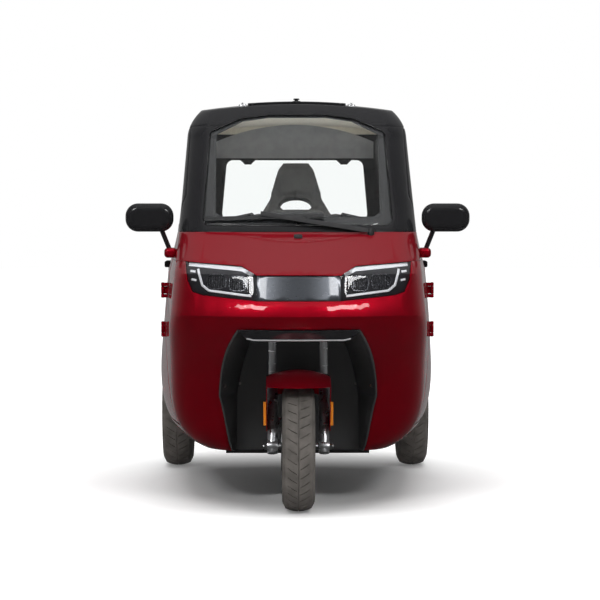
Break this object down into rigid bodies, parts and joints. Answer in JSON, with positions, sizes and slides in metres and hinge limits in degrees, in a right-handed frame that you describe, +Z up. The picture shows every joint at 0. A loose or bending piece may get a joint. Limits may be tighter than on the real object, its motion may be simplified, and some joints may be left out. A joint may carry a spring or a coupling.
{
  "type": "enclosed three-wheel cabin scooter",
  "caption": "Enclosed cabin scooter with a steered front fork, driven rear axle, hinged doors and boot lid, a glazed cabin and seats for driver and passenger.",
  "frame": {"origin": "on the ground, under the middle of the overall length and width", "axes": "+Z up, the front faces -Y, +X is the vehicle's left"},
  "size_m": [1.313, 2.2, 1.558],
  "materials": {
    "body_red": "metallic clear coat",
    "gloss_black": "gloss",
    "black_plastic": "fine grain",
    "dark_panel": "satin",
    "glass": "clear",
    "lens": "clear",
    "lamp_inner": "reflector and housing",
    "tail_red": "tinted lens",
    "amber": "prismatic",
    "headliner": "knit",
    "grey_trim": "fine grain",
    "seat": "grained vinyl",
    "tyre": "treaded rubber",
    "rim": "painted",
    "alloy": "satin",
    "chrome": "polished",
    "steel": "turned",
    "frame_black": "powder coat"
  },
  "bodies": {
    "chassis": {"wheel_well_liner": "black_plastic", "front_mask": "body_red", "hood": "body_red", "bumper_strip": "gloss_black", "grille_panel": "dark_panel", "headlamp_lenses": "lens", "headlamp_bodies": "lamp_inner", "sills": "body_red", "windscreen_surround": "gloss_black", "windscreen_glass": "glass", "roof_panel": "gloss_black", "roof_pad": "gloss_black", "headliner": "headliner", "rear_header": "grey_trim", "rear_upper": "gloss_black", "rear_glass": "glass", "rear_shell": "body_red", "tail_lamps": "tail_red", "rear_bumper": "black_plastic", "body_hinges": "black_plastic", "leg_shield": "black_plastic", "floor_pan": "black_plastic", "dashboard": "black_plastic", "rear_tub": "grey_trim", "battery_box": "black_plastic", "driver_cushion": "seat", "driver_back": "seat", "bench_cushion": "seat", "bench_back": "seat", "mirrors": "gloss_black", "mirror_pods": "body_red", "wiper": "black_plastic", "frame": "frame_black", "rear_axle": "frame_black", "leaf_springs": "steel"},
    "steering": {"fork_upper": "chrome", "fork_lowers": "alloy", "front_axle": "steel", "front_fender": "body_red", "fender_reflectors": "amber", "brake_caliper": "alloy", "handlebar": "black_plastic"},
    "front_wheel": {"front_tyre": "tyre", "front_rim": "rim", "front_disc": "steel"},
    "rear_wheel_left": {"rear_tyre_left": "tyre", "rear_rim_left": "rim"},
    "rear_wheel_right": {"rear_tyre_right": "tyre", "rear_rim_right": "rim"},
    "door_left": {"door_panel_left": "body_red", "door_frame_left": "gloss_black", "door_glass_left": "glass", "door_fittings_left": "black_plastic"},
    "door_right": {"door_panel_right": "body_red", "door_frame_right": "gloss_black", "door_glass_right": "glass", "door_fittings_right": "black_plastic"},
    "boot": {"boot_lid": "body_red", "boot_lid_hinges": "black_plastic"}
  },
  "joints": [
    {"name": "steering_turn", "type": "hinge", "parent": "chassis", "child": "steering", "pos_m": [0, -0.58976, 0.81235], "axis": [0, 0.342, 0.9397], "range_deg": [-35, 35]},
    {"name": "front_wheel_spin", "type": "hinge", "parent": "steering", "child": "front_wheel", "pos_m": [0, -0.83, 0.24], "axis": [1, 0, 0], "continuous": true},
    {"name": "rear_wheel_left_spin", "type": "hinge", "parent": "chassis", "child": "rear_wheel_left", "pos_m": [0.508, 0.72, 0.243], "axis": [1, 0, 0], "continuous": true},
    {"name": "rear_wheel_right_spin", "type": "hinge", "parent": "chassis", "child": "rear_wheel_right", "pos_m": [-0.508, 0.72, 0.243], "axis": [1, 0, 0], "continuous": true},
    {"name": "door_left_swing", "type": "hinge", "parent": "chassis", "child": "door_left", "pos_m": [0.518, -0.498, 0.735], "axis": [0, 0, -1], "range_deg": [0, 65]},
    {"name": "door_right_swing", "type": "hinge", "parent": "chassis", "child": "door_right", "pos_m": [-0.518, -0.498, 0.735], "axis": [0, 0, 1], "range_deg": [0, 65]},
    {"name": "boot_lid_lift", "type": "hinge", "parent": "chassis", "child": "boot", "pos_m": [0, 1.07475, 0.865], "axis": [1, 0, 0], "range_deg": [0, 75]}
  ]
}
